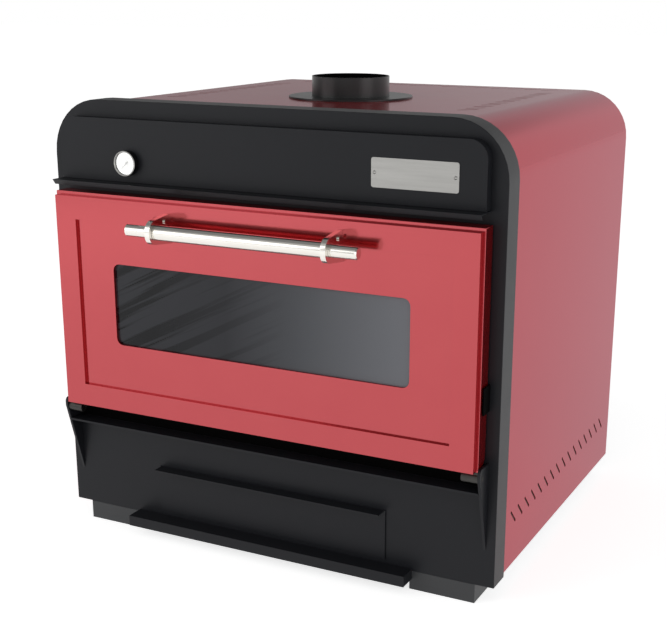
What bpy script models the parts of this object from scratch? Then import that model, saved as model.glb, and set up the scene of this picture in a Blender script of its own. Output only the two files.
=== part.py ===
"""Charcoal oven: an insulated steel firebox behind a drop-down door with a window.

Metres, +Z up. The oven faces -Y and stands on the floor at z = 0. Every piece is drawn in the
oven's own coordinates, from the middle of its width, the front plane of the front frame and the
underside of the body; an empty puts that point over the floor, and one more empty lies on each
joint's axis.
"""

import math

import bmesh
import bpy
from mathutils import Matrix, Vector

# Clearances, and how finely round shapes are cut
GAP = 0.0003
OVERRUN = 0.020
WELD = 0.00001
ARCH_STEPS = 10
CORNER_STEPS = 4
SLOT_STEPS = 2
ROUND_STEPS = 32
SMALL_ROUND_STEPS = 16

# Body
BODY_WIDTH = 0.900
BODY_DEPTH = 0.737
BASE_SHEET = 0.002
REAR_SHEET = 0.0015

# Feet, two skids that run front to back
FOOT_HEIGHT = 0.036
FOOT_WIDTH = 0.125
FOOT_SIDE_SETBACK = 0.035
FOOT_REAR_SETBACK = 0.030
FOOT_SHEET = 0.002

# Front frame, a pressing with a rim round it and a lip behind the rim that the casing butts on
FRAME_SHEET = 0.002
FRAME_DEPTH = 0.051
FRAME_CORNER = 0.100
FRAME_LIP = 0.020

# Casing round the sides and the top, with rows of slanted vent slots
CASING_STEP = 0.006
CASING_SHEET = 0.0015
VENT_WIDTH = 0.005
VENT_RUN = 0.025
VENT_PITCH = 0.0376
SIDE_VENT_HEIGHT = 0.106
SIDE_VENT_START = 0.094
SIDE_VENT_REAR_MARGIN = 0.052
ROOF_VENT_START = 0.178
ROOF_VENT_REAR_MARGIN = 0.052
ROOF_VENT_SIDE_MARGIN = 0.135

# Insulation and firebox
SIDE_INSULATION = 0.057
ROOF_INSULATION = 0.060
REAR_INSULATION = 0.045
FIREBOX_SHEET = 0.003
FIREBOX_RISE = 0.021
ASH_HOLE_WIDTH = 0.400
ASH_HOLE_START = 0.100
ASH_HOLE_REAR_MARGIN = 0.040

# Charcoal grate and the two grills above it
GRATE_THICKNESS = 0.012
GRATE_MARGIN = 0.040
GRATE_BAR = 0.012
GRATE_SLOT = 0.014
GRILL_THICKNESS = 0.010
GRILL_RIM = 0.014
GRILL_BAR = 0.008
GRILL_SLOT = 0.024
GRILL_FRONT = 0.045
GRILL_REAR_MARGIN = 0.0819
GRILL_SIDE_CLEARANCE = 0.003
GRILL_LEVELS = {"lower": 0.330, "upper": 0.430}
RUNNER_SHEET = 0.003
RUNNER_LEDGE = 0.024
RUNNER_FRONT = 0.060
RUNNER_REAR_MARGIN = 0.0869
RUNNER_MARGIN = 0.030

# Flue
FLUE_SETBACK = 0.340
FLUE_RADIUS = 0.075
FLUE_SHEET = 0.002
FLUE_RISE = 0.0407
FLANGE_RADIUS = 0.120
FLANGE_SHEET = 0.003

# Door, with the distances of its layers behind its front face
DOOR_SIDE_MARGIN = 0.0232
DOOR_BASE = 0.2237
DOOR_HEIGHT = 0.4127
DOOR_PROUD = 0.0455
SKIN_SHEET = 0.002
SKIN_SIDE_INSET = 0.0046
SKIN_TOP_INSET = 0.0068
RECESS_SIDE = 0.049
RECESS_BASE = 0.0428
RECESS_TOP = 0.0497
RECESS_DEPTH = 0.0058
WINDOW_SIDE = 0.126
WINDOW_BASE = 0.1301
WINDOW_TOP = 0.1274
WINDOW_CORNER = 0.013
WINDOW_RETURN = 0.003
PAN_SETBACK = 0.0105
PAN_SHEET = 0.002
PAN_RIM = 0.0123
PAN_LIP = 0.007
INNER_FRAME_WIDTH = 0.015
SEAL_THICKNESS = 0.0024
SEAL_WIDTH = 0.012
SEAL_CORNER = 0.015
SEAL_MARGIN = 0.006
GLASS_THICKNESS = 0.004
GLASS_MARGIN = 0.012
LINING_WALL = 0.020
LINER_SHEET = 0.002
LINER_DEPTH = 0.018
LINER_CLEARANCE = 0.006

# Opening in the front frame for the door's liner
MOUTH_RISE = 0.0233
MOUTH_DROP = 0.0244

# Handle
HANDLE_FORWARD = 0.042
HANDLE_DROP = 0.0497
HANDLE_LENGTH = 0.458
HANDLE_RADIUS = 0.011
HANDLE_CHAMFER = 0.002
SLEEVE_WALL = 0.0024
BRACKET_INSET = 0.061
BRACKET_THICKNESS = 0.010
BRACKET_EYE_WALL = 0.0085
BRACKET_FOOT = 0.054
SCREW_BACK = 0.029
SCREW_RISE = 0.015
SCREW_HEAD_RADIUS = 0.004
SCREW_HEAD_HEIGHT = 0.002
SCREW_RADIUS = 0.0025
SCREW_LENGTH = 0.008

# Hinges, gussets, sill and catch keepers
HINGE_CLEARANCE = 0.0022
HINGE_BACK = 0.0165
PIN_RADIUS = 0.005
PIN_LENGTH = 0.034
BARREL_RADIUS = 0.0095
BARREL_LENGTH = 0.0305
LUG_WIDTH = 0.012
GUSSET_SHEET = 0.005
GUSSET_CLEARANCE = 0.0012
GUSSET_OVERLAP = 0.0063
GUSSET_HEIGHT = 0.160
GUSSET_NOSE = 0.012
GUSSET_CORNER = 0.008
GUSSET_FRONT_EDGE = 0.008
SILL_SHEET = 0.004
SILL_DROP = 0.038
SILL_REACH = 0.0335
KEEPER_CLEARANCE = 0.0015
KEEPER_WIDTH = 0.0025
KEEPER_HEIGHT = 0.048
KEEPER_REACH = 0.029
KEEPER_RISE = 0.0983

# Fascia, drip ledge and nameplate
LEDGE_SHEET = 0.002
LEDGE_LIP = 0.0097
LEDGE_RAKE = 0.0075
LEDGE_CLEARANCE = 0.0129
LEDGE_REACH = 0.050
LEDGE_SIDE_MARGIN = 0.0275
FASCIA_REACH = 0.020
FASCIA_SHEET = 0.0015
FASCIA_SIDE_MARGIN = 0.0295
FASCIA_HEIGHT = 0.1135
FASCIA_TOP_MARGIN = 0.0305
FASCIA_CORNER = 0.032
NAMEPLATE_WIDTH = 0.155
NAMEPLATE_HEIGHT = 0.0493
NAMEPLATE_SHEET = 0.001
NAMEPLATE_CORNER = 0.004
NAMEPLATE_INSET = 0.047
NAMEPLATE_DROP = 0.038
RIVET_INSET = 0.006
RIVET_HEAD = 0.003
RIVET_HEIGHT = 0.0012
RIVET_RADIUS = 0.0015
RIVET_TAIL = 0.004

# Thermometer, with the heights of its layers over the fascia
THERMOMETER_INSET = 0.1505
THERMOMETER_RISE = 0.0356
CASE_RADIUS = 0.023
CASE_WALL = 0.002
CASE_HEIGHT = 0.0108
CASE_BASE = 0.004
LENS_RECESS = 0.0023
LENS_SEAT = 0.001
LENS_THICKNESS = 0.0015
BEZEL_HEIGHT = 0.0019
BEZEL_WIDTH = 0.0025
DIAL_THICKNESS = 0.0008
NEEDLE_HUB = 0.002
NEEDLE_SPINDLE = 0.001
NEEDLE_THICKNESS = 0.0006
NEEDLE_CLEARANCE = 0.004
NEEDLE_TAIL = 0.005
NEEDLE_WIDTH = 0.0016
NEEDLE_DEPTH = 0.004
NEEDLE_ZERO_SHARE = 0.375
STEM_RADIUS = 0.0035
STEM_LENGTH = 0.130
STEM_BORE = 0.006

# Ash drawer, its guides and the ash lip
DRAWER_OPENING_WIDTH = 0.460
DRAWER_OPENING_BASE = 0.014
DRAWER_OPENING_HEIGHT = 0.090
DRAWER_FRONT_OVERLAP = 0.0125
DRAWER_FRONT_BASE_LAP = 0.0017
DRAWER_FRONT_TOP_LAP = 0.0023
DRAWER_FRONT_SHEET = 0.0027
GRIP_REACH = 0.0255
GRIP_INSET = 0.0035
TRAY_CLEARANCE = 0.004
TRAY_LIFT = 0.001
TRAY_HEADROOM = 0.005
TRAY_REAR_MARGIN = 0.1755
TRAY_SHEET = 0.002
GUIDE_LEDGE = 0.022
GUIDE_WALL = 0.003
GUIDE_RISE = 0.026
LIP_SIDE_MARGIN = 0.1545
LIP_TOP = 0.0045
LIP_REACH = 0.0375
LIP_SHEET = 0.002
LIP_SKIRT = 0.0205

# Derived places that several pieces share
HALF_BODY = BODY_WIDTH / 2
DOOR_HALF = HALF_BODY - DOOR_SIDE_MARGIN
DOOR_TOP = DOOR_BASE + DOOR_HEIGHT
LEDGE_TOP = DOOR_TOP + LEDGE_CLEARANCE + LEDGE_LIP
FASCIA_TOP = LEDGE_TOP + FASCIA_HEIGHT
BODY_HEIGHT = FASCIA_TOP + FASCIA_TOP_MARGIN
DRAWER_OPENING_HALF = DRAWER_OPENING_WIDTH / 2
DRAWER_OPENING_TOP = DRAWER_OPENING_BASE + DRAWER_OPENING_HEIGHT
CASING_HALF = HALF_BODY - CASING_STEP
CASING_TOP = BODY_HEIGHT - CASING_STEP
CASING_CORNER = FRAME_CORNER - CASING_STEP
CASING_FRONT = FRAME_DEPTH + GAP
LINED_HALF = CASING_HALF - CASING_SHEET - GAP
LINED_TOP = CASING_TOP - CASING_SHEET - GAP
LINED_CORNER = CASING_CORNER - CASING_SHEET - GAP
REAR_FACE = BODY_DEPTH - REAR_SHEET
FIREBOX_HALF = LINED_HALF - SIDE_INSULATION - GAP
FIREBOX_TOP = LINED_TOP - ROOF_INSULATION - GAP
FIREBOX_BACK = REAR_FACE - GAP - REAR_INSULATION - GAP
FIREBOX_FRONT = FRAME_SHEET + GAP
FIREBOX_BASE = DRAWER_OPENING_TOP + FIREBOX_RISE
FIREBOX_FLOOR = FIREBOX_BASE + FIREBOX_SHEET
OVEN_HALF = FIREBOX_HALF - FIREBOX_SHEET
OVEN_BACK = FIREBOX_BACK - FIREBOX_SHEET
TRAY_BACK = REAR_FACE - TRAY_REAR_MARGIN
ASH_HOLE_END = TRAY_BACK - ASH_HOLE_REAR_MARGIN
MOUTH_BASE = DOOR_BASE + MOUTH_RISE
MOUTH_TOP = DOOR_TOP - MOUTH_DROP
DOOR_FACE = -DOOR_PROUD
SKIN_BACK = DOOR_FACE + SKIN_SHEET
RECESS_FACE = DOOR_FACE + RECESS_DEPTH
RECESS_BACK = RECESS_FACE + SKIN_SHEET
RECESS_HALF = DOOR_HALF - RECESS_SIDE
RECESS_FLOOR = DOOR_BASE + RECESS_BASE
RECESS_CEILING = DOOR_TOP - RECESS_TOP
PAN_FRONT = DOOR_FACE + PAN_SETBACK
PAN_BACK = -GAP - SEAL_THICKNESS - GAP
PAN_INSIDE = PAN_BACK - PAN_SHEET
PAN_CORNER = PAN_BACK - PAN_FRONT - PAN_LIP
WINDOW_HALF = DOOR_HALF - WINDOW_SIDE
WINDOW_LOW = DOOR_BASE + WINDOW_BASE
WINDOW_HIGH = DOOR_TOP - WINDOW_TOP
OUTER_GLASS_FRONT = RECESS_BACK + WINDOW_RETURN + GAP
OUTER_GLASS_BACK = OUTER_GLASS_FRONT + GLASS_THICKNESS
INNER_GLASS_BACK = LINER_DEPTH - LINER_SHEET - GAP
INNER_GLASS_FRONT = INNER_GLASS_BACK - GLASS_THICKNESS
LINER_HALF = OVEN_HALF - LINER_CLEARANCE
LINER_LOW = MOUTH_BASE + LINER_CLEARANCE
LINER_HIGH = MOUTH_TOP - LINER_CLEARANCE
HINGE_Y = DOOR_FACE + HINGE_BACK
HINGE_Z = DOOR_BASE - BARREL_RADIUS - HINGE_CLEARANCE
GUSSET_INNER = DOOR_HALF + GUSSET_CLEARANCE
HANDLE_Y = DOOR_FACE - HANDLE_FORWARD
HANDLE_Z = DOOR_TOP - HANDLE_DROP
BRACKET_EYE = HANDLE_RADIUS + BRACKET_EYE_WALL
HANDLE_REACH = DOOR_PROUD + HANDLE_FORWARD + BRACKET_EYE
FASCIA_HALF = HALF_BODY - FASCIA_SIDE_MARGIN
FASCIA_FACE = -FASCIA_REACH
DIAL_X = THERMOMETER_INSET - FASCIA_HALF
DIAL_Z = LEDGE_TOP + THERMOMETER_RISE
CASE_FOOT = FASCIA_FACE - GAP
DIAL_FOOT = CASE_BASE + GAP
DIAL_FACE = DIAL_FOOT + DIAL_THICKNESS
TRAY_HALF = DRAWER_OPENING_HALF - TRAY_CLEARANCE
TRAY_BASE = DRAWER_OPENING_BASE + TRAY_LIFT
BASE_TOP = GAP + BASE_SHEET
FACE_TURN = math.pi / 2
SMOOTH_ANGLE = math.radians(35)

# Directions that an outline or a round piece faces: front is seen along +Y with its outline in
# x and z, side along -X in y and z, and top along -Z in x and y
TURNS = {
    "front": Matrix.Rotation(FACE_TURN, 4, "X"),
    "side": Matrix.Rotation(FACE_TURN, 4, "Z") @ Matrix.Rotation(FACE_TURN, 4, "X"),
    "top": Matrix.Identity(4),
}


def clear_scene():
    for old in list(bpy.data.objects):
        bpy.data.objects.remove(old)


def new_collection(name):
    collection = bpy.data.collections.new(name)
    bpy.context.scene.collection.children.link(collection)
    return collection


def new_empty(name, place, parent=None):
    empty = bpy.data.objects.new(name, None)
    empty.location = place
    empty.parent = parent
    parts.objects.link(empty)
    return empty


def new_material(name, colour, roughness, metallic=0.0, transmission=0.0):
    material = bpy.data.materials.new(name)
    material.use_nodes = True
    shader = material.node_tree.nodes["Principled BSDF"]
    shader.inputs["Base Color"].default_value = (*colour, 1)
    shader.inputs["Roughness"].default_value = roughness
    shader.inputs["Metallic"].default_value = metallic
    shader.inputs["Transmission Weight"].default_value = transmission
    return material


def keep(solid, material, joint=None):
    """Makes the solid a piece of the oven, carried by a joint's empty if one is given."""
    parts.objects.link(solid)
    solid.data.materials.clear()
    solid.data.materials.append(material)
    solid.parent = joint or oven
    if joint:
        solid.location -= joint.location
    return solid


def combine(solid, other, operation):
    """Cuts the other solid from the first, or joins it on, and keeps it as a hidden helper."""
    cutters.objects.link(other)
    other.parent = oven
    other.hide_render = True
    other.display_type = "WIRE"
    modifier = solid.modifiers.new(other.name, "BOOLEAN")
    modifier.object = other
    modifier.operation = operation
    modifier.solver = "EXACT"
    return solid


def cut(solid, *tools):
    for tool in tools:
        combine(solid, tool, "DIFFERENCE")
    return solid


def join(solid, *others):
    for other in others:
        combine(solid, other, "UNION")
    return solid


def smoothed(mesh):
    mesh.shade_smooth()
    mesh.set_sharp_from_angle(angle=SMOOTH_ANGLE)
    return mesh


def point(facing, u, v, w):
    """The point at (u, v) in the facing's plane and at w along the axis across it."""
    return Vector({"front": (u, w, v), "side": (w, u, v), "top": (u, v, w)}[facing])


def box(name, x, y, z):
    """A box between the (low, high) pairs on each axis."""
    work = bmesh.new()
    middle = Vector([(low + high) / 2 for low, high in (x, y, z)])
    sides = Matrix.Diagonal([high - low for low, high in (x, y, z)] + [1])
    bmesh.ops.create_cube(work, size=1, matrix=Matrix.Translation(middle) @ sides)
    mesh = bpy.data.meshes.new(name)
    work.to_mesh(mesh)
    work.free()
    return bpy.data.objects.new(name, mesh)


def cylinder(name, facing, u, v, low, high, radius, steps=ROUND_STEPS):
    """A round bar from low to high along the axis across the facing's plane."""
    work = bmesh.new()
    place = Matrix.Translation(point(facing, u, v, (low + high) / 2)) @ TURNS[facing]
    size = {"radius1": radius, "radius2": radius, "depth": high - low}
    bmesh.ops.create_cone(work, cap_ends=True, segments=steps, matrix=place, **size)
    mesh = bpy.data.meshes.new(name)
    work.to_mesh(mesh)
    work.free()
    return bpy.data.objects.new(name, smoothed(mesh))


def turned(name, facing, u, v, foot, profile, steps=ROUND_STEPS):
    """A profile of (radius, height) points turned round an axis. Heights rise from the foot:
    towards -Y for the front facing, +X for the side and +Z for the top. A profile that stays
    off the axis closes to a ring."""
    mesh = bpy.data.meshes.new(name)
    links = [(index, index + 1) for index in range(len(profile) - 1)]
    if profile[0][0] > 0:
        links.append((len(profile) - 1, 0))
    mesh.from_pydata([(radius, 0, height) for radius, height in profile], links, [])
    solid = bpy.data.objects.new(name, mesh)
    solid.matrix_world = Matrix.Translation(point(facing, u, v, foot)) @ TURNS[facing]
    screw = solid.modifiers.new("turn", "SCREW")
    screw.steps = steps
    screw.render_steps = steps
    screw.use_merge_vertices = True
    screw.merge_threshold = WELD
    return solid


def drawn(name, facing, low, high, outlines, closed):
    """Outlines swept from low to high across the facing's plane: filled where closed, and an
    open sheet otherwise."""
    curve = bpy.data.curves.new(name, "CURVE")
    curve.dimensions = "2D"
    curve.fill_mode = "BOTH" if closed else "NONE"
    curve.extrude = (high - low) / 2
    for outline in outlines:
        spline = curve.splines.new("POLY")
        spline.points.add(len(outline) - 1)
        spline.use_cyclic_u = closed
        for end, (u, v) in zip(spline.points, outline):
            end.co = (u, v, 0, 1)
    sketch = bpy.data.objects.new(name + "_sketch", curve)
    sketch.matrix_world = Matrix.Translation(point(facing, 0, 0, (low + high) / 2)) @ TURNS[facing]
    cutters.objects.link(sketch)
    graph = bpy.context.evaluated_depsgraph_get()
    mesh = bpy.data.meshes.new_from_object(sketch.evaluated_get(graph))
    work = bmesh.new()
    work.from_mesh(mesh)
    bmesh.ops.remove_doubles(work, verts=work.verts, dist=WELD)
    if closed:
        bmesh.ops.recalc_face_normals(work, faces=work.faces)
    work.to_mesh(mesh)
    work.free()
    solid = bpy.data.objects.new(name, smoothed(mesh))
    solid.matrix_world = sketch.matrix_world
    bpy.data.objects.remove(sketch)
    bpy.data.curves.remove(curve)
    return solid


def plate(name, facing, low, high, *outlines):
    """A solid of the first outline, with the others as holes."""
    return drawn(name, facing, low, high, outlines, closed=True)


def folded(name, facing, low, high, path, sheet):
    """A bent sheet that lies to the right of its path, as the facing shows it."""
    solid = drawn(name, facing, low, high, [path], closed=False)
    shell = solid.modifiers.new("sheet", "SOLIDIFY")
    shell.thickness = sheet
    shell.offset = -1
    shell.use_even_offset = True
    return solid


def filleted(corners, steps=CORNER_STEPS):
    """Points through (u, v, radius) corners, with an arc at each whose radius isn't zero."""
    points = []
    for index, (u, v, radius) in enumerate(corners):
        corner = Vector((u, v))
        if not radius:
            points.append(corner)
            continue
        before = (Vector(corners[index - 1][:2]) - corner).normalized()
        after = (Vector(corners[(index + 1) % len(corners)][:2]) - corner).normalized()
        half = before.angle(after) / 2
        centre = corner + (before + after).normalized() * radius / math.sin(half)
        first = corner + before * radius / math.tan(half) - centre
        last = corner + after * radius / math.tan(half) - centre
        turns = [first.slerp(last, step / steps).normalized() for step in range(steps + 1)]
        points += [centre + radius * turn for turn in turns]
    return points


def rectangle(left, right, low, high, corner=0):
    return filleted([(left, low, corner), (left, high, corner), (right, high, corner), (right, low, corner)])


def arch(half_width, low, high, corner):
    """Square corners at the foot and round ones at the top, from the left foot to the right."""
    left = [(-half_width, low, 0), (-half_width, high, corner)]
    right = [(half_width, high, corner), (half_width, low, 0)]
    return filleted(left + right, ARCH_STEPS)


def slot(start, end, width):
    """A straight slot between two points, with round ends."""
    start, end = Vector(start), Vector(end)
    along = (end - start).normalized() * width / 2
    points = []
    for middle, first in ((start, math.pi / 2), (end, -math.pi / 2)):
        for step in range(SLOT_STEPS + 1):
            turn = Matrix.Rotation(first + math.pi * step / SLOT_STEPS, 2)
            points.append(middle + turn @ along)
    return points


def circle(u, v, radius, steps=ROUND_STEPS):
    turns = [2 * math.pi * step / steps for step in range(steps)]
    return [(u + radius * math.cos(turn), v + radius * math.sin(turn)) for turn in turns]


def ring(outer, inner, low, high):
    """The profile of a plain ring between two radii and two heights."""
    return [(outer, high), (outer, low), (inner, low), (inner, high)]


def span(sign, near, far):
    """The (low, high) pair between two distances from the middle, on the side of the sign."""
    return tuple(sorted((sign * near, sign * far)))


def places(start, end, pitch):
    """Evenly spaced places from start that don't pass the end."""
    return [start + pitch * index for index in range(int((end - start + WELD) / pitch) + 1)]


def bar_slots(half_width, front, back, rim, bar, gap):
    """The slots between bars that run front to back inside a rim, spread evenly."""
    inner = half_width - rim
    count = int((2 * inner + bar) / (gap + bar))
    pitch = (2 * inner + bar) / count
    lefts = [-inner + pitch * index for index in range(count)]
    return [rectangle(left, left + pitch - bar, front + rim, back - rim) for left in lefts]


def make_front_frame():
    # The drawn face, its rim and the lip behind the rim, then the openings through the face
    frame = plate("front_frame", "front", 0, FRAME_DEPTH, arch(HALF_BODY, 0, BODY_HEIGHT, FRAME_CORNER))
    hollow_half = HALF_BODY - FRAME_SHEET
    hollow = arch(hollow_half, FRAME_SHEET, BODY_HEIGHT - FRAME_SHEET, FRAME_CORNER - FRAME_SHEET)
    lip_half = HALF_BODY - FRAME_LIP
    lip = arch(lip_half, FRAME_SHEET, BODY_HEIGHT - FRAME_LIP, FRAME_CORNER - FRAME_LIP)
    mouth = rectangle(-OVEN_HALF, OVEN_HALF, MOUTH_BASE, MOUTH_TOP)
    drawer_half = DRAWER_OPENING_HALF
    drawer_hole = rectangle(-drawer_half, drawer_half, DRAWER_OPENING_BASE, DRAWER_OPENING_TOP)
    cut(
        frame,
        plate("frame_hollow", "front", FRAME_SHEET, FRAME_DEPTH - FRAME_SHEET, hollow),
        plate("frame_lip_hole", "front", FRAME_SHEET + GAP, FRAME_DEPTH + OVERRUN, lip),
        plate("mouth_hole", "front", -OVERRUN, FRAME_SHEET + GAP, mouth),
        plate("drawer_hole", "front", -OVERRUN, FRAME_SHEET + GAP, drawer_hole),
        stem_hole("frame_stem_hole", -OVERRUN, FRAME_SHEET + GAP),
    )
    keep(frame, black_enamel)


def stem_hole(name, low, high):
    return cylinder(name, "front", DIAL_X, DIAL_Z, low, high, STEM_RADIUS + GAP, SMALL_ROUND_STEPS)


def make_casing():
    path = arch(CASING_HALF, 0, CASING_TOP, CASING_CORNER)
    casing = folded("casing", "front", CASING_FRONT, BODY_DEPTH, path, CASING_SHEET)
    last = BODY_DEPTH - SIDE_VENT_REAR_MARGIN - VENT_RUN
    starts = places(SIDE_VENT_START, last, VENT_PITCH)
    foot = SIDE_VENT_HEIGHT - VENT_RUN
    side_slots = [slot((y, SIDE_VENT_HEIGHT), (y + VENT_RUN, foot), VENT_WIDTH) for y in starts]
    reach = CASING_HALF + OVERRUN
    cut(
        casing,
        plate("side_vents", "side", -reach, reach, *side_slots),
        plate("roof_vents", "top", LINED_TOP, CASING_TOP + OVERRUN, *roof_slots()),
        flue_hole("casing_flue_hole", LINED_TOP, CASING_TOP + OVERRUN, FLUE_RADIUS + GAP),
    )
    keep(casing, red_enamel)


def roof_slots():
    """A row along the rear and one down each side, all slanted alike."""
    near = HALF_BODY - ROOF_VENT_SIDE_MARGIN - VENT_RUN
    rear = BODY_DEPTH - ROOF_VENT_REAR_MARGIN
    slots = []
    for x in places(-near, near, VENT_PITCH):
        slots.append(slot((x, rear), (x + VENT_RUN, rear + VENT_RUN), VENT_WIDTH))
    for y in places(ROOF_VENT_START, rear - VENT_PITCH - VENT_RUN, VENT_PITCH):
        slots.append(slot((near, y), (near + VENT_RUN, y + VENT_RUN), VENT_WIDTH))
        slots.append(slot((-near - VENT_RUN, y), (-near, y + VENT_RUN), VENT_WIDTH))
    return slots


def flue_hole(name, low, high, radius):
    return cylinder(name, "top", 0, FLUE_SETBACK, low, high, radius)


def make_body_panels():
    # The rear panel stands inside the casing's rear edge, and the base plate inside its feet
    back = arch(LINED_HALF, GAP, LINED_TOP, LINED_CORNER)
    keep(plate("rear_panel", "front", REAR_FACE, BODY_DEPTH, back), black_enamel)
    base = box("base_plate", (-LINED_HALF, LINED_HALF), (CASING_FRONT, REAR_FACE - GAP), (GAP, BASE_TOP))
    keep(base, galvanised)


def make_feet():
    # Sheet trays with their open side up against the base
    outer = HALF_BODY - FOOT_SIDE_SETBACK
    inner = outer - FOOT_WIDTH
    back = BODY_DEPTH - FOOT_REAR_SETBACK
    for side, sign in SIDES:
        foot = box("foot_" + side, span(sign, inner, outer), (0, back), (-FOOT_HEIGHT, 0))
        wide = span(sign, inner + FOOT_SHEET, outer - FOOT_SHEET)
        deep = (FOOT_SHEET, back - FOOT_SHEET)
        hollow = box("foot_hollow_" + side, wide, deep, (FOOT_SHEET - FOOT_HEIGHT, OVERRUN))
        keep(cut(foot, hollow), grey_enamel)


def make_firebox():
    deep = (FIREBOX_FRONT, FIREBOX_BACK)
    firebox = box("firebox", (-FIREBOX_HALF, FIREBOX_HALF), deep, (FIREBOX_BASE, FIREBOX_TOP))
    ash_half = ASH_HOLE_WIDTH / 2
    ends = (FIREBOX_TOP - OVERRUN, FIREBOX_TOP + OVERRUN)
    cut(
        firebox,
        box(
            "oven_space",
            (-OVEN_HALF, OVEN_HALF),
            (-OVERRUN, OVEN_BACK),
            (FIREBOX_FLOOR, FIREBOX_TOP - FIREBOX_SHEET),
        ),
        box(
            "ash_hole",
            (-ash_half, ash_half),
            (ASH_HOLE_START, ASH_HOLE_END),
            (FIREBOX_BASE - OVERRUN, FIREBOX_FLOOR + OVERRUN),
        ),
        flue_hole("firebox_flue_hole", *ends, FLUE_RADIUS - FLUE_SHEET),
    )
    keep(firebox, raw_steel)


def make_insulation():
    # One blanket bent over the firebox, and a slab behind it
    band = arch(LINED_HALF, BASE_TOP + GAP, LINED_TOP, LINED_CORNER)
    inside = arch(FIREBOX_HALF + GAP, BASE_TOP + GAP, FIREBOX_TOP + GAP, 0)
    wrap = plate("insulation_wrap", "front", CASING_FRONT, FIREBOX_BACK, band + inside[::-1])
    cut(wrap, flue_hole("blanket_flue_hole", FIREBOX_TOP, CASING_TOP, FLUE_RADIUS + GAP))
    keep(wrap, ceramic_wool)
    keep(plate("insulation_rear", "front", FIREBOX_BACK + GAP, REAR_FACE - GAP, band), ceramic_wool)


def make_grate():
    half = ASH_HOLE_WIDTH / 2 + GRATE_MARGIN
    front = ASH_HOLE_START - GRATE_MARGIN
    back = ASH_HOLE_END + GRATE_MARGIN
    foot = FIREBOX_FLOOR + GAP
    gaps = bar_slots(half, front, back, GRATE_MARGIN, GRATE_BAR, GRATE_SLOT)
    outline = rectangle(-half, half, front, back)
    keep(plate("charcoal_grate", "top", foot, foot + GRATE_THICKNESS, outline, *gaps), cast_iron)


def make_runners():
    # A comb section: one web against the firebox wall, with a ledge for each grill
    web_outer = OVEN_HALF - GAP
    web_inner = web_outer - RUNNER_SHEET
    ledge = web_inner - RUNNER_LEDGE
    low = min(GRILL_LEVELS.values()) - RUNNER_MARGIN
    high = max(GRILL_LEVELS.values()) + RUNNER_MARGIN
    comb = [(web_outer, low), (web_outer, high), (web_inner, high)]
    for level in sorted(GRILL_LEVELS.values(), reverse=True):
        foot = level - RUNNER_SHEET
        comb += [(web_inner, level), (ledge, level), (ledge, foot), (web_inner, foot)]
    comb.append((web_inner, low))
    for side, sign in SIDES:
        outline = [(sign * x, z) for x, z in comb]
        rear = OVEN_BACK - RUNNER_REAR_MARGIN
        runner = plate("rack_runner_" + side, "front", RUNNER_FRONT, rear, outline)
        keep(runner, stainless)


def make_grill(name, level, joint):
    half = OVEN_HALF - GAP - RUNNER_SHEET - GRILL_SIDE_CLEARANCE
    back = OVEN_BACK - GRILL_REAR_MARGIN
    gaps = bar_slots(half, GRILL_FRONT, back, GRILL_RIM, GRILL_BAR, GRILL_SLOT)
    foot = level + GAP
    outline = rectangle(-half, half, GRILL_FRONT, back)
    keep(plate(name, "top", foot, foot + GRILL_THICKNESS, outline, *gaps), stainless, joint)


def make_flue():
    foot = FIREBOX_TOP + GAP
    top = CASING_TOP + FLUE_RISE - foot
    bore = FLUE_RADIUS - FLUE_SHEET
    keep(turned("flue_collar", "top", 0, FLUE_SETBACK, foot, ring(FLUE_RADIUS, bore, 0, top)), black_enamel)
    flange = ring(FLANGE_RADIUS, FLUE_RADIUS + GAP, 0, FLANGE_SHEET)
    keep(turned("flue_flange", "top", 0, FLUE_SETBACK, CASING_TOP + GAP, flange), black_enamel)


def make_fascia():
    low = LEDGE_TOP + GAP
    outer = arch(FASCIA_HALF, low, FASCIA_TOP, FASCIA_CORNER)
    panel = plate("fascia_panel", "front", FASCIA_FACE, -GAP, outer)
    inner_half = FASCIA_HALF - FASCIA_SHEET
    inner_top = FASCIA_TOP - FASCIA_SHEET
    inner = arch(inner_half, low + FASCIA_SHEET, inner_top, FASCIA_CORNER - FASCIA_SHEET)
    cut(
        panel,
        plate("fascia_hollow", "front", FASCIA_FACE + FASCIA_SHEET, OVERRUN, inner),
        stem_hole("fascia_stem_hole", FASCIA_FACE - OVERRUN, FASCIA_FACE + FASCIA_SHEET + GAP),
        *rivet_holes("fascia_rivet_hole_"),
    )
    keep(panel, black_enamel)
    half = HALF_BODY - LEDGE_SIDE_MARGIN
    # The ledge is a sheet whose front edge is turned down and back, so that drips fall off it
    lip = LEDGE_RAKE - LEDGE_REACH
    bend = LEDGE_SHEET + LEDGE_RAKE * LEDGE_SHEET / LEDGE_LIP - LEDGE_REACH
    under = LEDGE_TOP - LEDGE_SHEET
    tip = LEDGE_TOP - LEDGE_LIP
    rear = [(-LEDGE_REACH, LEDGE_TOP), (-GAP, LEDGE_TOP), (-GAP, under)]
    front = [(bend, under), (lip + LEDGE_SHEET, tip), (lip, tip)]
    keep(plate("drip_ledge", "side", -half, half, rear + front), black_enamel)


def rivet_places():
    right = FASCIA_HALF - NAMEPLATE_INSET - RIVET_INSET
    left = FASCIA_HALF - NAMEPLATE_INSET - NAMEPLATE_WIDTH + RIVET_INSET
    height = FASCIA_TOP - NAMEPLATE_DROP - NAMEPLATE_HEIGHT / 2
    return (("left", left, height), ("right", right, height))


def rivet_holes(prefix):
    low = FASCIA_FACE - OVERRUN
    high = FASCIA_FACE + FASCIA_SHEET + GAP
    radius = RIVET_RADIUS + GAP
    holes = []
    for side, x, z in rivet_places():
        holes.append(cylinder(prefix + side, "front", x, z, low, high, radius, SMALL_ROUND_STEPS))
    return holes


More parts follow.
